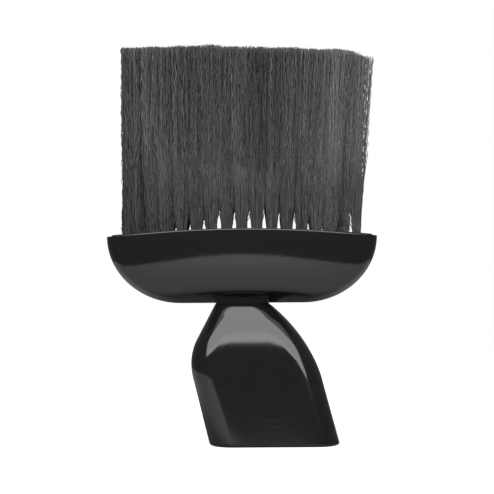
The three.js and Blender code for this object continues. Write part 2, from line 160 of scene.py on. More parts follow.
class Finishes(bpy.types.PropertyGroup):
    """Colours of the brush and its stage."""

    black: colour("Black", "Gloss black moulding", (0.0048, 0.0048, 0.0052))
    block: colour("Block", "Moulded black of the bristle block", (0.012, 0.012, 0.0125))
    dust: colour("Dust", "Settled dust", (0.16, 0.155, 0.15))
    fibre_dark: colour("Dark fibre", "Darkest bristles", (0.014, 0.014, 0.0143))
    fibre_light: colour("Light fibre", "Lightest bristles", (0.14, 0.14, 0.1425))
    steel: colour("Steel", "Wires, washer and screw", (0.52, 0.53, 0.54))
    floor: colour("Floor", "Pale floor", (0.56, 0.56, 0.557))


class StageSettings(bpy.types.PropertyGroup):
    """Camera and light."""

    camera_distance: length("Camera distance", "Lens to the brush's mid-plane", 700)
    camera_height: length("Camera height", "Lens above the floor", 82.5)
    camera_across: length("Camera across", "Lens to the right of the brush's middle", 2.1)
    frame_width: length("Frame width", "Width that the picture takes in at the brush", 207.5)
    roll: FloatProperty(
        name="Camera roll",
        description="Turn of the camera about its view",
        default=math.radians(0.35),
        subtype="ANGLE",
    )
    key: FloatProperty(name="Key", description="Radiance of the large softbox", default=4.6)
    edge: FloatProperty(name="Edge", description="Extra radiance of its lower edge", default=0.95)
    top: FloatProperty(name="Top", description="Radiance of the dim panel above it", default=1.1)


# ---- Outlines and small helpers ----


def lerp(start, end, share):
    return start + (end - start) * share


def ease(share):
    share = min(max(share, 0.0), 1.0)
    return share * share * (3 - 2 * share)


def soft_min(a, b, softness):
    """The lesser of two values, with a rounded change from one to the other."""
    return (a + b - math.sqrt((a - b) ** 2 + softness**2)) / 2


def bezier(points, share):
    while len(points) > 1:
        points = [p.lerp(q, share) for p, q in zip(points, points[1:])]
    return points[0]


def crossing(points, z):
    """The x at which a rising Bezier curve, drawn as x and z, crosses the height z."""
    low, high = 0.0, 1.0
    for _ in range(30):
        middle = (low + high) / 2
        if bezier(points, middle).y < z:
            low = middle
        else:
            high = middle
    return bezier(points, low).x


def smooth(mesh):
    """Shades a mesh smooth except at its sharp edges."""
    mesh.shade_smooth()
    mesh.set_sharp_from_angle(angle=math.radians(35))


def finished(name, bm):
    """A named object from a bmesh, smooth except at its sharp edges."""
    bmesh.ops.recalc_face_normals(bm, faces=bm.faces)
    mesh = bpy.data.meshes.new(name)
    bm.to_mesh(mesh)
    bm.free()
    smooth(mesh)
    piece = bpy.data.objects.new(name, mesh)
    bpy.context.scene.collection.objects.link(piece)
    return piece


def settle(piece, material, slot, *nodes):
    """Gives a finished piece its finish, attaches it to the root body and hides the CAD nodes that it stands
    for.
    """
    piece.data.materials.clear()
    piece.data.materials.append(material)
    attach(piece, "root")
    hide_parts(*nodes)


def rounded_ring(left, right, half_depth, radius, z, arc_steps=10, side_steps=6):
    """Corners of a level rounded rectangle, anticlockwise from the middle of its right side."""
    radius = min(radius, 0.95 * half_depth, 0.475 * (right - left))
    corners = []
    for quarter in range(4):
        x = right - radius if quarter in (0, 3) else left + radius
        y = half_depth - radius if quarter < 2 else radius - half_depth
        for step in range(arc_steps + 1):
            angle = (quarter + step / arc_steps) * math.pi / 2
            corners.append(Vector((x + radius * math.cos(angle), y + radius * math.sin(angle), z)))
    sides = []
    for i, corner in enumerate(corners):
        sides.append(corner)
        if i % (arc_steps + 1) == arc_steps:
            after = corners[(i + 1) % len(corners)]
            sides += [corner.lerp(after, step / side_steps) for step in range(1, side_steps)]
    return sides


def loft(bm, rings, closed):
    """Extrudes a ring of vertices through `rings`. A closed loft returns to its first ring."""
    count = len(rings[0])
    ring = bmesh.ops.create_circle(bm, segments=count, radius=1)["verts"]
    for vertex, corner in zip(ring, rings[0]):
        vertex.co = corner
    first = ring
    for corners in rings[1:] + (rings[:1] if closed else []):
        around = [
            next(e for e in v.link_edges if e.other_vert(v) is w)
            for v, w in zip(ring, ring[1:] + ring[:1])
        ]
        made = bmesh.ops.extrude_edge_only(bm, edges=around)["geom"]
        fresh = {g for g in made if isinstance(g, bmesh.types.BMVert)}
        ring = [
            next(e.other_vert(v) for e in v.link_edges if e.other_vert(v) in fresh) for v in ring
        ]
        for vertex, corner in zip(ring, corners):
            vertex.co = corner
    if closed:
        bmesh.ops.remove_doubles(bm, verts=first + ring, dist=0.001 * MM)
    else:
        for end in (first, ring):
            bmesh.ops.contextual_create(bm, geom=end)


# ---- Head ----


def head_outline(size, inset, share):
    """A point of the boat's front view, from the left tip (-1) by the keel to the right tip (1)."""
    keel_part = 0.38
    side = math.copysign(1, share)
    share = abs(share)
    reach = head_high.x - size.keel_half
    drop = head_high.z - size.crown - head_low.z
    tip_z = head_low.z + drop
    if share <= keel_part:
        return side * size.keel_half * share / keel_part, head_low.z + inset
    angle = (share - keel_part) / (1 - keel_part) * math.pi / 2
    x, z = reach * math.sin(angle), drop * math.cos(angle)
    away = Vector((x / reach**2, z / drop**2)).normalized()
    return side * (size.keel_half + x - inset * away.x), tip_z - z + inset * away.y


def edge_distance(size, x, z):
    """How far a point of the head's front view lies inside its outline."""
    over = abs(x) - size.keel_half
    if over <= 0:
        return z - head_low.z
    reach = head_high.x - size.keel_half
    drop = head_high.z - size.crown - head_low.z
    under = head_low.z + drop - z
    if under <= 0:
        return reach - over
    low, high = 0.0, math.pi / 2
    for _ in range(24):
        angle = (low + high) / 2
        along_x = (reach * math.sin(angle) - over) * reach * math.cos(angle)
        along_z = (drop * math.cos(angle) - under) * drop * math.sin(angle)
        if along_x - along_z < 0:
            low = angle
        else:
            high = angle
    return math.hypot(reach * math.sin(low) - over, drop * math.cos(low) - under)


def half_depth(size, x, z, inset):
    """Mid-plane to the surface of the boat, shrunk all round by `inset`."""
    half_width, middle = head_high.x, head_high.y
    rise = middle - size.tip_half_depth
    radius = (rise**2 + half_width**2) / (2 * rise)
    drop = head_high.z - size.crown - head_low.z
    lean = size.tuck * (max(head_low.z + drop - z, 0) / drop) ** 3
    face = math.sqrt((radius - inset - lean) ** 2 - x**2) - (radius - middle)
    depth_in = max(edge_distance(size, x, z) - inset, 0)
    band = size.land + size.band_reach * depth_in / size.band_rise
    return max(soft_min(face, band, size.crease), 0.05 * MM)


def rim_height(size, x):
    return head_high.z - size.crown * (x / head_high.x) ** 2


def hull(size, inset=0.0, bottom=None, lift=0.0):
    """The boat as a closed solid: half of it laid on a grid, then mirrored. `bottom` cuts it off level
    and `lift` carries it past the rim, as a tool that hollows the cover out."""
    bm = bmesh.new()
    fineness = 1 if lift == 0 else 3
    rows, round_rows = size.rows // fineness, 4
    columns = 3 * (size.columns // fineness)
    count_z = rows + round_rows + 3
    bmesh.ops.create_grid(bm, x_segments=columns, y_segments=count_z, size=0.5)
    rim_round = size.rim_round if lift == 0 else 0.0
    for vertex in bm.verts:
        column = round((vertex.co.x + 0.5) * columns)
        row = round((vertex.co.y + 0.5) * count_z)
        x, low_z = head_outline(size, inset, 2 * column / columns - 1)
        if bottom is not None:
            low_z = max(low_z, bottom)
        top_z = max(rim_height(size, x) + lift, low_z)
        if row == 0:
            vertex.co = (x, 0, low_z)
        elif row == count_z:
            vertex.co = (x, 0, top_z)
        elif row <= rows + 1:
            share = ((row - 1) / rows) ** 1.7
            z = lerp(low_z, max(top_z - rim_round, low_z), share)
            vertex.co = (x, -half_depth(size, x, z, inset), z)
        else:
            angle = (row - rows - 1) / (round_rows + 1) * math.pi / 2
            z = max(top_z - rim_round * (1 - math.sin(angle)), low_z)
            depth = half_depth(size, x, z, inset) - rim_round * (1 - math.cos(angle))
            vertex.co = (x, -max(depth, 0.02 * MM), z)
    bmesh.ops.remove_doubles(bm, verts=bm.verts, dist=0.002 * MM)
    bmesh.ops.mirror(bm, geom=bm.verts[:] + bm.edges[:] + bm.faces[:], axis="Y", merge_dist=0.002 * MM)
    bmesh.ops.remove_doubles(bm, verts=bm.verts, dist=0.002 * MM)
    bmesh.ops.dissolve_degenerate(bm, edges=bm.edges, dist=0.002 * MM)
    bmesh.ops.holes_fill(bm, edges=[edge for edge in bm.edges if edge.is_boundary])
    return bm


def upright_bar(half_width, half_depth, radius, low_z, high_z):
    """An upright bar with rounded edges, round the head's own axis."""
    bm = bmesh.new()
    section = (-half_width, half_width, half_depth, radius)
    loft(bm, [rounded_ring(*section, z) for z in (low_z, high_z)], closed=False)
    return bm


def cut(piece, bm, operation="DIFFERENCE"):
    """Cuts a solid out of a piece, or joins it on, and keeps the result."""
    tool = finished("tool", bm)
    boolean = piece.modifiers.new("cut", "BOOLEAN")
    boolean.operation = operation
    boolean.solver = "EXACT"
    boolean.object = tool
    depsgraph = bpy.context.evaluated_depsgraph_get()
    before = piece.data
    piece.data = bpy.data.meshes.new_from_object(piece.evaluated_get(depsgraph))
    piece.data.name = before.name
    piece.modifiers.clear()
    bpy.data.meshes.remove(before)
    bpy.data.objects.remove(tool)


class BRUSH_OT_head_cover(bpy.types.Operator):
    """Model the boat-shaped head cover"""

    bl_idname = "brush.head_cover"
    bl_label = "Head Cover"

    def execute(self, context):
        size = context.scene.brush_head
        spigot = context.scene.brush_handle
        ledge_z = head_high.z - size.ledge_depth
        keel_z = head_low.z
        socket_z = handle_high.z + GAP
        socket = (spigot.spigot_half + GAP, spigot.spigot_half_depth + GAP, spigot.spigot_round + GAP)
        boss = (socket[0] + size.boss_wall, socket[1] + MM, socket[2] + MM)
        pilot = 3 * [PILOT_RADIUS]
        piece = finished("head_cover", hull(size))
        cut(piece, hull(size, size.wall, ledge_z, OVERCUT))
        cut(piece, hull(size, size.wall + size.ledge, None, OVERCUT))
        cut(piece, upright_bar(*boss, keel_z, keel_z + size.boss_height), "UNION")
        cut(piece, upright_bar(*socket, keel_z - OVERCUT, socket_z))
        cut(piece, upright_bar(*pilot, keel_z, socket_z + PILOT_DEPTH))
        smooth(piece.data)
        settle(piece, gloss_black(context.scene.brush_finish), "gloss_black_shell", "head_shell")
        return {"FINISHED"}


# ---- Tufts ----


class BRUSH_OT_bristles(bpy.types.Operator):
    """Model the crimped fibres of every tuft"""

    bl_idname = "brush.bristles"
    bl_label = "Bristles"

    def execute(self, context):
        size = context.scene.brush_tufts
        section = fibre_section(size.thickness / 2)
        material = bristle_fibre(context.scene.brush_finish)
        for number, place in enumerate(tuft_places()):
            strands = tuft_strands(size, context.scene.brush_head, place, random.Random(number + 11))
            piece = strands_piece(place["name"].replace("tuft", "bristles"), strands, section)
            settle(piece, material, "charcoal_bristle", place["name"])
        bpy.data.objects.remove(section)
        return {"FINISHED"}


COLUMN_DRUM = 85.6 * MM  # columns are even steps round a drum of this radius
COLUMN_STEP = math.radians(4.235)


def column_x(step):
    return COLUMN_DRUM * math.sin(step * COLUMN_STEP)


def tuft_places():
    """Every tuft of the frame: its name, row side, column, the corners of its box and whether its column also
    has front and back tufts.
    """
    places = []
    for name in sorted(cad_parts):
        part = name.split("_")
        if part[0] != "tuft" or part[1] == "block":
            continue
        column = {"left": -1, "right": 1, "centre": 0}[part[2]] * int((part + ["0"])[3])
        low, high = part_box(name)
        side = {"middle": 0, "front": -1, "back": 1}[part[1]]
        paired = abs(column) <= max_outer_column()
        places.append({"name": name, "side": side, "column": column, "low": low, "high": high, "paired": paired})
    return places


def max_outer_column():
    return max(int(name.rsplit("_", 1)[1]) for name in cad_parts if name.startswith("tuft_front_right"))


def last_column():
    return max(int(name.rsplit("_", 1)[1]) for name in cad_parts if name.startswith("tuft_middle_right"))


def top_height(x):
    """How high the bristle field stands at x: it falls a little towards the right."""
    slope = max(x + 10 * MM, 0) / (60 * MM)
    corner = ease((x - 42 * MM) / (14 * MM))
    return tuft_high.z - 0.3 * MM - 1.6 * MM * slope - 1.8 * MM * corner


def tuft_strands(size, head, place, rng):
    """Fibres of one tuft: for each, its points and a shade for each point, which holds its tone with painted
    light and painted shade.
    """
    column, side = place["column"], place["side"]
    field_half = column_x(last_column() + 0.5)
    x = column_x(column)
    inside = row_depth(head, x)
    y = side * inside
    half = inside / 2 if place["paired"] else 3.1 * MM
    near = -half if side == 0 else side * half
    far = half if side == 0 else side * 3 * half
    left, right = column_x(column - 0.5), column_x(column + 0.5)
    lean = lambda at: at + ((3.2 if at > 0 else 0.3) * MM) * at / field_half
    exit_z = head_high.z - 2.7 * MM * (x / head_high.x) ** 2
    root_z = place["low"].z + 0.2 * MM
    off_peak = x - 7 * MM
    gap = size.gap_height * max(1 - (off_peak / ((42 if off_peak < 0 else 33) * MM)) ** 2, 0)
    mouth = size.mouth * rng.uniform(1, 1.2)
    if column == last_column():
        gap = size.gap_height
        mouth *= 0.8
        x += 0.4 * MM
    flare = max(2 * gap, 3 * MM)
    opening = lerp(0.75, 0.02, min(2 * gap / size.gap_height, 1))
    outward = math.copysign(1, column) if abs(column) == last_column() else 0
    # Painted light: tufts right of 26 mm get a paler shade, standing in for light falling on the right end of
    # the field.
    painted_right_light = 0.33 * ease((x - 26 * MM) / (9 * MM))
    clumps = [
        (rng.uniform(-1, 1), rng.uniform(-1, 1), rng.uniform(-0.08, 0.08))
        for _ in range(size.clumps)
    ]
    scallop = rng.uniform(-0.7, 0.7) * MM
    strands = []
    for _ in range(size.fibres):
        across, deep = rng.uniform(-1, 1), rng.uniform(-1, 1)
        lock = min(clumps, key=lambda c: (c[0] - across) ** 2 + (c[1] - deep) ** 2)
        gather = rng.uniform(0.05, 0.4)
        mouth_x = x + mouth * across * math.sqrt(1 - deep**2 / 2)
        mouth_y = y + mouth * deep * math.sqrt(1 - across**2 / 2)
        wide_x = lerp(left, right, 0.5 + 0.5 * across)
        held_x, held_y = lerp(across, lock[0], gather), lerp(deep, lock[1], gather)
        stray = rng.gauss(0, size.wander)
        if outward and across * outward > 0.25:
            apart = rng.random() < 0.28
            held_x = outward * (rng.uniform(0.8, 1.0) if apart else rng.uniform(-0.45, 0.15))
            stray *= 0.25
            if apart and outward > 0:
                stray += rng.uniform(0, 2.4) * MM
        tip_x = lerp(lean(left), lean(right), 0.5 + 0.5 * held_x) + stray
        tip_x = max(tip_x, (0.5 if outward and held_x < -0.5 else 1.4) * MM - field_half)
        tip_y = 1.06 * lerp(near, far, 0.5 + 0.5 * held_y) + rng.gauss(0, 0.6 * MM)
        tip_z = top_height(tip_x) + scallop * (1 - across**2) - abs(rng.gauss(0, size.ragged))
        tip_z = min(tip_z, cad_box[1][2] + 0.6 * MM)
        swing = rng.uniform(0.4, 1.4) * size.crimp
        turn = rng.uniform(0, 2 * math.pi)
        sway, waves, phase = rng.gauss(0, size.sway), rng.uniform(1, 3), rng.uniform(0, 6)
        sway *= 0.35 if outward else 1
        own_flare = flare * (1.2 - 0.95 * rng.random() ** 2)
        heights = [root_z, exit_z] + [exit_z + part * own_flare for part in (0.35, 0.7, 1.1)]
        rest = size.knots - len(heights)
        shift = rng.random()
        heights += [lerp(heights[4], tip_z, (step + shift) / rest) for step in range(1, rest)] + [tip_z]
        points = []
        for step, z in enumerate(heights):
            opened = lerp(opening, 1, ease((z - exit_z) / own_flare)) if z > root_z else 0
            climb = max(z - exit_z, 0) / (tip_z - exit_z)
            px = lerp(mouth_x, lerp(wide_x, tip_x, climb), opened)
            py = lerp(mouth_y, tip_y, climb)
            if 1 < step:
                flick = (1 if step % 2 else -1) * swing * rng.uniform(0.5, 1.3)
                swung = sway * min(3 * climb, 1) * math.sin(math.pi * waves * climb + phase)
                px += flick * math.cos(turn) + swung
                py += flick * math.sin(turn)
            points.append((px, py, z))
        shade = 0.3 + painted_right_light + lock[2] + rng.gauss(0, 0.15)
        if rng.random() < 0.1:
            shade += 0.26
        # Painted shade: each fibre's shade falls to 0.4 of itself towards its root, standing in for the shade
        # low in the field.
        start = rng.uniform(0.4, 0.56)
        shades = []
        for point in points:
            climb = max(point[2] - exit_z, 0) / (tip_z - exit_z)
            shades.append(shade * lerp(0.4, 1, ease((climb - 0.12) / start)))
        strands.append((points, shades))
    return strands


def row_depth(head, x):
    """How far the front and back rows stand from the middle one."""
    middle = head_high.y
    rise = middle - head.tip_half_depth
    radius = (rise**2 + head_high.x**2) / (2 * rise)
    return 0.62 * (math.sqrt((radius - 2.1 * MM) ** 2 - x**2) - (radius - middle))


def fibre_section(radius):
    """The three-sided section that every fibre is drawn with."""
    curve = bpy.data.curves.new("fibre_section", "CURVE")
    curve.dimensions = "2D"
    spline = curve.splines.new("POLY")
    spline.points.add(2)
    for corner, point in enumerate(spline.points):
        angle = corner * 2 * math.pi / 3
        point.co = (radius * math.cos(angle), radius * math.sin(angle), 0, 1)
    spline.use_cyclic_u = True
    section = bpy.data.objects.new("fibre_section", curve)
    bpy.context.scene.collection.objects.link(section)
    return section


def strands_piece(name, strands, section):
    """Draws the fibres as one curve and returns it as a mesh piece with a shade for each point of each fibre,
    which holds painted light and painted shade as well as the fibre's tone.
    """
    curve = bpy.data.curves.new(name, "CURVE")
    curve.dimensions = "3D"
    curve.bevel_mode = "OBJECT"
    curve.bevel_object = section
    for points, _ in strands:
        spline = curve.splines.new("POLY")
        spline.points.add(len(points) - 1)
        spline.points.foreach_set("co", [value for point in points for value in (*point, 1)])
        spline.points[-1].radius = 0.6
    drawn = bpy.data.objects.new(name + "_drawn", curve)
    bpy.context.scene.collection.objects.link(drawn)
    depsgraph = bpy.context.evaluated_depsgraph_get()
    mesh = bpy.data.meshes.new_from_object(drawn.evaluated_get(depsgraph))
    bpy.data.objects.remove(drawn)
    bpy.data.curves.remove(curve)
    mesh.name = name
    mesh.shade_smooth()
    corners = 3 * len(strands[0][0])
    if len(mesh.vertices) != corners * len(strands):
        raise RuntimeError(f"{name} has {len(mesh.vertices)} corners, not {corners * len(strands)}")
    shades = mesh.attributes.new("shade", "FLOAT", "POINT")
    values = [shade for _, along in strands for shade in along for _ in range(3)]
    shades.data.foreach_set("value", values)
    bm = bmesh.new()
    bm.from_mesh(mesh)
    bmesh.ops.holes_fill(bm, edges=[e for e in bm.edges if e.is_boundary], sides=3)
    bm.to_mesh(mesh)
    bm.free()
    piece = bpy.data.objects.new(name, mesh)
    bpy.context.scene.collection.objects.link(piece)
    return piece


# ---- Handle and foot ----


def handle_section(size, z, inset):
    """One level section of the handle, shrunk by `inset`."""
    left_slope, right_slope = -0.25, -0.266
    neck_z = handle_high.z - 2.7 * MM
    left = lambda at: size.foot_left + left_slope * at
    right = lambda at: size.foot_right + right_slope * at
    shoulder_z, curl_z, roll_z = 36.6 * MM, 27.4 * MM, 35 * MM
    shoulder = Vector((left(shoulder_z), shoulder_z))
    neck_left = Vector((-size.neck_half, neck_z))
    after = shoulder.lerp(neck_left, 0.34)
    before_z = shoulder_z - 9 * MM
    before = Vector((left(before_z), before_z))
    if z <= before_z:
        left_x = left(z)
    elif z <= after.y:
        left_x = crossing([before, shoulder, after], z)
    else:
        left_x = lerp(after.x, neck_left.x, (z - after.y) / (neck_left.y - after.y))
    curl = [
        Vector((right(curl_z), curl_z)),
        Vector((right(curl_z + 11 * MM), curl_z + 11 * MM)),
        Vector((size.neck_half + 10.6 * MM, neck_z - 8.6 * MM)),
        Vector((size.neck_half, neck_z)),
    ]
    right_x = right(z) if z <= curl_z else crossing(curl, z)
    front = [
        Vector((size.front_half_depth, roll_z)),
        Vector((size.front_half_depth - 0.4 * MM, roll_z + 7.5 * MM)),
        Vector((size.neck_half_depth + 3.8 * MM, neck_z - 4.8 * MM)),
        Vector((size.neck_half_depth, neck_z)),
    ]
    if z <= roll_z:
        depth = lerp(size.foot_half_depth, size.front_half_depth, z / roll_z)
    else:
        depth = crossing(front, z)
    radius = max(size.corner - inset, 0.5 * MM)
    return rounded_ring(left_x + inset, right_x - inset, depth - inset, radius, z)


class BRUSH_OT_handle(bpy.types.Operator):
    """Model the hollow handle with its spigot"""

    bl_idname = "brush.handle"
    bl_label = "Handle"

    def execute(self, context):
        size = context.scene.brush_handle
        neck_z = handle_high.z - 2.7 * MM
        meet_z = head_low.z - 0.02 * MM
        low_z = handle_low.z
        edge = 0.06 * MM
        rings = [handle_section(size, low_z, edge), handle_section(size, low_z + edge, 0)]
        rings += [handle_section(size, lerp(low_z + 1 * MM, 26 * MM, step / 6), 0) for step in range(7)]
        steps = 56
        top_round = 0.35 * MM
        for step in range(steps + 1):
            rings.append(handle_section(size, lerp(27 * MM, neck_z - top_round, step / steps), 0))
        for step in (1, 2, 3):
            angle = step / 3 * math.pi / 2
            z = neck_z - top_round * (1 - math.sin(angle))
            rings.append(handle_section(size, z, top_round * (1 - math.cos(angle))))
        for corner in rings[-1]:
            corner.z = meet_z
        spigot = (-size.spigot_half, size.spigot_half, size.spigot_half_depth, size.spigot_round)
        rings += [rounded_ring(*spigot, meet_z), rounded_ring(*spigot, handle_high.z)]
        hole = PILOT_RADIUS
        web_z = neck_z - size.web
        rings += [rounded_ring(-hole, hole, hole, hole, z) for z in (handle_high.z, web_z)]
        for step in range(13):
            rings.append(handle_section(size, lerp(web_z, low_z, step / 12), size.wall))
        bm = bmesh.new()
        loft(bm, rings, closed=True)
        piece = finished("handle_body", bm)
        settle(piece, gloss_black(context.scene.brush_finish), "gloss_black_shell", "handle_shell")
        return {"FINISHED"}


class BRUSH_OT_foot(bpy.types.Operator):
    """Model the foot plate with its rounded lower edge and locating lip"""

    bl_idname = "brush.foot"
    bl_label = "Foot Plate"

    def execute(self, context):
        size = context.scene.brush_handle
        plate_z = handle_low.z - 0.03 * MM
        lip_z = plate_z + size.lip
        lip_inset = size.wall + 0.3 * MM
        hollow = lip_inset + 1.6 * MM
        rings = []
        for step in range(8):
            angle = step / 7 * math.pi / 2
            z = 1.1 * MM * (1 - math.cos(angle))
            rings.append(handle_section(size, z, size.foot_round * (1 - math.sin(angle))))
        edge = 0.06 * MM
        rings += [
            handle_section(size, plate_z - edge, 0),
            handle_section(size, plate_z, edge),
            handle_section(size, plate_z, lip_inset),
            handle_section(size, lip_z - edge, lip_inset),
            handle_section(size, lip_z, lip_inset + edge),
            handle_section(size, lip_z, hollow),
            handle_section(size, plate_z, hollow),
        ]
        bm = bmesh.new()
        loft(bm, rings, closed=False)
        piece = finished("foot_plate", bm)
        settle(piece, gloss_black(context.scene.brush_finish), "gloss_black_foot", "base_plate")
        return {"FINISHED"}


# ---- Finishes ----


def add_node(tree, kind, **inputs):
    made = tree.nodes.new(kind)
    for name, value in inputs.items():
        made.inputs[name.replace("_", " ")].default_value = value
    return made


def effect(name, inputs, output, output_kind, build):
    """A node group with named number inputs and one output, made once."""
    tree = bpy.data.node_groups.get(name)
    if tree:
        return tree
    tree = bpy.data.node_groups.new(name, "ShaderNodeTree")
    for socket, value in inputs.items():
        made = tree.interface.new_socket(socket, in_out="INPUT", socket_type="NodeSocketFloat")
        made.default_value = value
    tree.interface.new_socket(output, in_out="OUTPUT", socket_type=output_kind)
    given = tree.nodes.new("NodeGroupInput")
    result = tree.nodes.new("NodeGroupOutput")
    tree.links.new(build(tree, given), result.inputs[output])
    return tree


def place_effect(tree, group, **inputs):
    made = tree.nodes.new("ShaderNodeGroup")
    made.node_tree = group
    for name, value in inputs.items():
        made.inputs[name].default_value = value
    return made


def moulding_ripple():
    """A slow unevenness of the moulded surface."""

    def build(tree, given):
        where = tree.nodes.new("ShaderNodeTexCoord")
        slow = add_node(tree, "ShaderNodeTexNoise", Detail=1.5, Roughness=0.4)
        tree.links.new(where.outputs["Object"], slow.inputs["Vector"])
        tree.links.new(given.outputs["Scale"], slow.inputs["Scale"])
        return slow.outputs["Fac"]

    return effect("Moulding ripple", {"Scale": 60}, "Height", "NodeSocketFloat", build)


def handling_marks():
    """Fine hairline marks from handling, as a mask."""

    def build(tree, given):
        where = tree.nodes.new("ShaderNodeTexCoord")
        turned = add_node(tree, "ShaderNodeMapping")
        turned.inputs["Rotation"].default_value = (0.3, 0.9, 0.5)
        turned.inputs["Scale"].default_value = (1, 14, 9)
        lines = add_node(tree, "ShaderNodeTexNoise", Detail=6, Roughness=0.62)
        pick = add_node(tree, "ShaderNodeMapRange", From_Min=0.58, From_Max=0.74)
        tree.links.new(where.outputs["Object"], turned.inputs["Vector"])
        tree.links.new(turned.outputs["Vector"], lines.inputs["Vector"])
        tree.links.new(given.outputs["Scale"], lines.inputs["Scale"])
        tree.links.new(lines.outputs["Fac"], pick.inputs["Value"])
        tree.links.new(given.outputs["Amount"], pick.inputs["To Max"])
        return pick.outputs["Result"]

    return effect("Handling marks", {"Scale": 90, "Amount": 1}, "Mask", "NodeSocketFloat", build)


def settled_dust():
    """Specks of dust, thicker where the surface faces up, as a mask."""

    def build(tree, given):
        where = tree.nodes.new("ShaderNodeTexCoord")
        specks = add_node(tree, "ShaderNodeTexVoronoi")
        size = add_node(tree, "ShaderNodeMapRange", From_Min=0.16, From_Max=0.05)
        haze = add_node(tree, "ShaderNodeTexNoise", Scale=55, Detail=3)
        thin = add_node(tree, "ShaderNodeMapRange", From_Min=0.5, From_Max=0.75, To_Max=0.35)
        facing = tree.nodes.new("ShaderNodeNewGeometry")
        split = tree.nodes.new("ShaderNodeSeparateXYZ")
        upward = add_node(tree, "ShaderNodeMapRange", From_Min=-0.3, From_Max=0.9, To_Min=0.15)
        join = tree.nodes.new("ShaderNodeMath")
        join.operation = "ADD"
        up = tree.nodes.new("ShaderNodeMath")
        up.operation = "MULTIPLY"
        amount = tree.nodes.new("ShaderNodeMath")
        amount.operation = "MULTIPLY"
        tree.links.new(where.outputs["Object"], specks.inputs["Vector"])
        tree.links.new(given.outputs["Scale"], specks.inputs["Scale"])
        tree.links.new(specks.outputs["Distance"], size.inputs["Value"])
        tree.links.new(where.outputs["Object"], haze.inputs["Vector"])
        tree.links.new(haze.outputs["Fac"], thin.inputs["Value"])
        tree.links.new(facing.outputs["Normal"], split.inputs["Vector"])
        tree.links.new(split.outputs["Z"], upward.inputs["Value"])
        tree.links.new(size.outputs["Result"], join.inputs[0])
        tree.links.new(thin.outputs["Result"], join.inputs[1])
        tree.links.new(join.outputs["Value"], up.inputs[0])
        tree.links.new(upward.outputs["Result"], up.inputs[1])
        tree.links.new(up.outputs["Value"], amount.inputs[0])
        tree.links.new(given.outputs["Amount"], amount.inputs[1])
        return amount.outputs["Value"]

    return effect("Settled dust", {"Scale": 900, "Amount": 1}, "Mask", "NodeSocketFloat", build)


def new_material(name):
    material = bpy.data.materials.get(name)
    if material:
        return material, None, None
    material = bpy.data.materials.new(name)
    material.use_nodes = True
    tree = material.node_tree
    return material, tree, tree.nodes["Principled BSDF"]


def moulded_finish(name, base, dust, roughness, grain_scale, grain_depth, marks, dust_amount):
    """A moulded plastic with slow ripple or grain, hairline marks and a trace of dust."""
    material, tree, shader = new_material(name)
    if tree is None:
        return material
    dusting = place_effect(tree, settled_dust(), Amount=dust_amount)
    blend = tree.nodes.new("ShaderNodeMix")
    blend.data_type = "RGBA"
    blend.inputs["A"].default_value = (*base, 1)
    blend.inputs["B"].default_value = (*dust, 1)
    tree.links.new(dusting.outputs["Mask"], blend.inputs["Factor"])
    tree.links.new(blend.outputs["Result"], shader.inputs["Base Color"])
    scuffs = place_effect(tree, handling_marks(), Amount=marks)
    rough = tree.nodes.new("ShaderNodeMath")
    rough.operation = "ADD"
    rough.inputs[1].default_value = roughness
    tree.links.new(scuffs.outputs["Mask"], rough.inputs[0])
    tree.links.new(rough.outputs["Value"], shader.inputs["Roughness"])
    ripple = place_effect(tree, moulding_ripple(), Scale=grain_scale)
    bump = add_node(tree, "ShaderNodeBump", Strength=1.0, Distance=grain_depth)
    tree.links.new(ripple.outputs["Height"], bump.inputs["Height"])
    tree.links.new(bump.outputs["Normal"], shader.inputs["Normal"])
    shader.inputs["IOR"].default_value = 1.52
    return material


def gloss_black(finish):
    return moulded_finish(
        "gloss_black", finish.black[:], finish.dust[:], 0.1, 45, 0.02 * MM, 0.12, 0.02
    )


def moulded_black(finish):
    return moulded_finish(
        "moulded_black", finish.block[:], finish.dust[:], 0.42, 2400, 0.03 * MM, 0.1, 0.1
    )


def bristle_fibre(finish):
    """Crimped nylon: each fibre has its own shade, with slow changes along it. The shade attribute also carries
    painted light that makes the right-hand tufts paler and painted shade that darkens the fibres towards their
    roots.
    """
    material, tree, shader = new_material("bristle_fibre")
    if tree is None:
        return material
    # Reads each point's shade: the fibre's tone, with painted light on the right-hand tufts and painted shade
    # towards the roots.
    shade = tree.nodes.new("ShaderNodeAttribute")
    shade.attribute_name = "shade"
    where = tree.nodes.new("ShaderNodeTexCoord")
    stretched = add_node(tree, "ShaderNodeMapping")
    stretched.inputs["Scale"].default_value = (1, 1, 0.12)
    streak = add_node(tree, "ShaderNodeTexNoise", Scale=900, Detail=2)
    swing = add_node(tree, "ShaderNodeMapRange", From_Min=0.25, From_Max=0.75, To_Min=-0.1, To_Max=0.1)
    total = tree.nodes.new("ShaderNodeMath")
    total.operation = "ADD"
    total.use_clamp = True
    blend = tree.nodes.new("ShaderNodeMix")
    blend.data_type = "RGBA"
    blend.inputs["A"].default_value = (*finish.fibre_dark, 1)
    blend.inputs["B"].default_value = (*finish.fibre_light, 1)
    tree.links.new(where.outputs["Object"], stretched.inputs["Vector"])
    tree.links.new(stretched.outputs["Vector"], streak.inputs["Vector"])
    tree.links.new(streak.outputs["Fac"], swing.inputs["Value"])
    tree.links.new(shade.outputs["Fac"], total.inputs[0])
    tree.links.new(swing.outputs["Result"], total.inputs[1])
    tree.links.new(total.outputs["Value"], blend.inputs["Factor"])
    tree.links.new(blend.outputs["Result"], shader.inputs["Base Color"])
    shader.inputs["Roughness"].default_value = 0.48
    return material


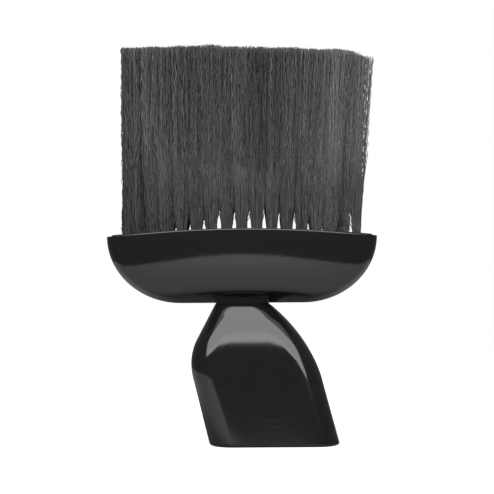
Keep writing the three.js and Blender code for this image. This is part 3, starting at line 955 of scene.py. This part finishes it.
def drawn_metal(name, base, roughness):
    """Bright wire or plated steel with fine drawing lines."""
    material, tree, shader = new_material(name)
    if tree is None:
        return material
    shader.inputs["Metallic"].default_value = 1
    lines = place_effect(tree, handling_marks(), Scale=400, Amount=0.25)
    rough = tree.nodes.new("ShaderNodeMath")
    rough.operation = "ADD"
    rough.inputs[1].default_value = roughness
    tree.links.new(lines.outputs["Mask"], rough.inputs[0])
    tree.links.new(rough.outputs["Value"], shader.inputs["Roughness"])
    dusting = place_effect(tree, settled_dust(), Amount=0.15)
    blend = tree.nodes.new("ShaderNodeMix")
    blend.data_type = "RGBA"
    blend.inputs["A"].default_value = (*base, 1)
    blend.inputs["B"].default_value = (0.2, 0.19, 0.18, 1)
    tree.links.new(dusting.outputs["Mask"], blend.inputs["Factor"])
    tree.links.new(blend.outputs["Result"], shader.inputs["Base Color"])
    return material


class BRUSH_OT_inner_finishes(bpy.types.Operator):
    """Give the block, wires, washer and screw their finishes"""

    bl_idname = "brush.inner_finishes"
    bl_label = "Block and Metal Finishes"

    def execute(self, context):
        finish = context.scene.brush_finish
        wire = drawn_metal("drawn_wire", finish.steel[:], 0.3)
        plated = drawn_metal("plated_steel", finish.steel[:], 0.38)
        wanted = {"tuft_block": moulded_black(finish), "clamp_washer": plated, "clamp_screw": plated}
        for row in ("middle", "front", "back"):
            wanted[f"draw_wire_{row}"] = wire
        for name, material in wanted.items():
            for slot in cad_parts[name].material_slots:
                slot.material = material
        return {"FINISHED"}


# ---- Stage ----


def softbox(name, lower_edge, up, width, height, radiance):
    """A rectangular light above the middle of its lower edge, seen in reflections but not by the camera."""
    light = bpy.data.lights.new(name, "AREA")
    light.shape = "RECTANGLE"
    light.size = width
    light.size_y = height
    light.energy = radiance * math.pi * width * height
    holder = bpy.data.objects.new(name, light)
    holder.location = lower_edge + up * height / 2
    facing = Vector((1, 0, 0)).cross(up)
    holder.rotation_euler = (-facing).to_track_quat("-Z", "Y").to_euler()
    holder.visible_camera = False
    bpy.context.scene.collection.objects.link(holder)


class BRUSH_OT_stage(bpy.types.Operator):
    """Set up the pale floor, the softboxes and the camera"""

    bl_idname = "brush.stage"
    bl_label = "Stage"

    def execute(self, context):
        settings = context.scene.brush_stage
        self.floor(context.scene.brush_finish)
        self.surroundings(context.scene)
        lower_edge = Vector((0, -0.752, 0.25))
        up = Vector((0, 0.778, 0.628))
        softbox("key_softbox", lower_edge, up, 1.5, 0.572, settings.key)
        nearer = Vector((0, 0.006, -0.008))
        softbox("key_lower_edge", lower_edge + nearer, up, 1.5, 0.112, settings.edge)
        softbox("top_panel", lower_edge + 0.572 * up, up, 1.5, 0.4, settings.top)
        self.camera(context.scene, settings)
        return {"FINISHED"}

    def floor(self, finish):
        bm = bmesh.new()
        bmesh.ops.create_circle(bm, cap_ends=True, segments=96, radius=1)
        bmesh.ops.scale(bm, vec=(0.25, 0.68, 1), verts=bm.verts)
        mesh = bpy.data.meshes.new("floor")
        bm.to_mesh(mesh)
        bm.free()
        floor = bpy.data.objects.new("floor", mesh)
        bpy.context.scene.collection.objects.link(floor)
        material, tree, shader = new_material("pale_floor")
        shader.inputs["Roughness"].default_value = 0.8
        shader.inputs["Emission Color"].default_value = (1, 1, 1, 1)
        seen = tree.nodes.new("ShaderNodeLightPath")
        glow = tree.nodes.new("ShaderNodeMath")
        glow.operation = "MULTIPLY"
        glow.inputs[1].default_value = 1
        tree.links.new(seen.outputs["Is Camera Ray"], glow.inputs[0])
        tree.links.new(glow.outputs["Value"], shader.inputs["Emission Strength"])
        # Painted shadow: the floor's colour darkens towards black round the brush and just behind it, standing
        # in for the brush's shadow in reflections and bounce light; the glow that camera rays see mostly hides
        # it from the camera.
        where = tree.nodes.new("ShaderNodeTexCoord")
        painted_shadow_centre = add_node(tree, "ShaderNodeMapping")
        painted_shadow_centre.vector_type = "TEXTURE"
        painted_shadow_centre.inputs["Location"].default_value = (0, 0.035, 0)
        painted_shadow_centre.inputs["Scale"].default_value = (0.105, 0.1, 1)
        reach = tree.nodes.new("ShaderNodeVectorMath")
        reach.operation = "LENGTH"
        painted_shadow_fade = add_node(tree, "ShaderNodeMapRange", From_Min=0.35, From_Max=1, To_Min=0.28)
        painted_shadow_fade.interpolation_type = "SMOOTHSTEP"
        shade = tree.nodes.new("ShaderNodeMix")
        shade.data_type = "RGBA"
        shade.inputs["A"].default_value = (0, 0, 0, 1)
        shade.inputs["B"].default_value = (*finish.floor, 1)
        tree.links.new(where.outputs["Object"], painted_shadow_centre.inputs["Vector"])
        tree.links.new(painted_shadow_centre.outputs["Vector"], reach.inputs[0])
        tree.links.new(reach.outputs["Value"], painted_shadow_fade.inputs["Value"])
        tree.links.new(painted_shadow_fade.outputs["Result"], shade.inputs["Factor"])
        tree.links.new(shade.outputs["Result"], shader.inputs["Base Color"])
        mesh.materials.append(material)

    def surroundings(self, scene):
        world = bpy.data.worlds.new("studio")
        world.use_nodes = True
        tree = world.node_tree
        seen = tree.nodes.new("ShaderNodeLightPath")
        lit = add_node(tree, "ShaderNodeBackground", Color=(1, 1, 1, 1), Strength=0.15)
        white = tree.nodes["Background"]
        white.inputs["Color"].default_value = (1, 1, 1, 1)
        white.inputs["Strength"].default_value = 1
        mix = tree.nodes.new("ShaderNodeMixShader")
        tree.links.new(seen.outputs["Is Camera Ray"], mix.inputs["Fac"])
        tree.links.new(lit.outputs["Background"], mix.inputs[1])
        tree.links.new(white.outputs["Background"], mix.inputs[2])
        tree.links.new(mix.outputs["Shader"], tree.nodes["World Output"].inputs["Surface"])
        scene.world = world
        scene.view_settings.view_transform = "Standard"

    def camera(self, scene, settings):
        camera = bpy.data.cameras.new("camera")
        camera.lens = camera.sensor_width * settings.camera_distance / settings.frame_width
        camera.clip_start = 0.01
        holder = bpy.data.objects.new("camera", camera)
        holder.location = (settings.camera_across, -settings.camera_distance, settings.camera_height)
        holder.rotation_euler = (math.pi / 2, settings.roll, 0)
        scene.collection.objects.link(holder)
        scene.camera = holder


# ---- Panel and registration ----


OPERATORS = (
    BRUSH_OT_stage,
    BRUSH_OT_head_cover,
    BRUSH_OT_handle,
    BRUSH_OT_foot,
    BRUSH_OT_bristles,
    BRUSH_OT_inner_finishes,
)
GROUPS = {
    "brush_head": HeadSizes,
    "brush_tufts": TuftSizes,
    "brush_handle": HandleSizes,
    "brush_finish": Finishes,
    "brush_stage": StageSettings,
}


class BRUSH_PT_panel(bpy.types.Panel):
    """Lists the brush's pieces and their sizes"""

    bl_idname = "BRUSH_PT_panel"
    bl_label = "Neck Duster"
    bl_space_type = "VIEW_3D"
    bl_region_type = "UI"
    bl_category = "Neck Duster"

    def draw(self, context):
        for operator in OPERATORS:
            self.layout.operator(operator.bl_idname)
        for attribute, group in GROUPS.items():
            box = self.layout.box()
            box.label(text=group.__name__)
            for name in group.__annotations__:
                box.prop(getattr(context.scene, attribute), name)


def register():
    for attribute, group in GROUPS.items():
        bpy.utils.register_class(group)
        setattr(bpy.types.Scene, attribute, PointerProperty(type=group))
    for operator in OPERATORS:
        bpy.utils.register_class(operator)
    bpy.utils.register_class(BRUSH_PT_panel)


def unregister():
    bpy.utils.unregister_class(BRUSH_PT_panel)
    for operator in reversed(OPERATORS):
        bpy.utils.unregister_class(operator)
    for attribute, group in reversed(GROUPS.items()):
        delattr(bpy.types.Scene, attribute)
        bpy.utils.unregister_class(group)


def main():
    register()
    bpy.ops.brush.stage()
    bpy.ops.brush.head_cover()
    bpy.ops.brush.handle()
    bpy.ops.brush.foot()
    bpy.ops.brush.bristles()
    bpy.ops.brush.inner_finishes()


if __name__ == "__main__":
    main()
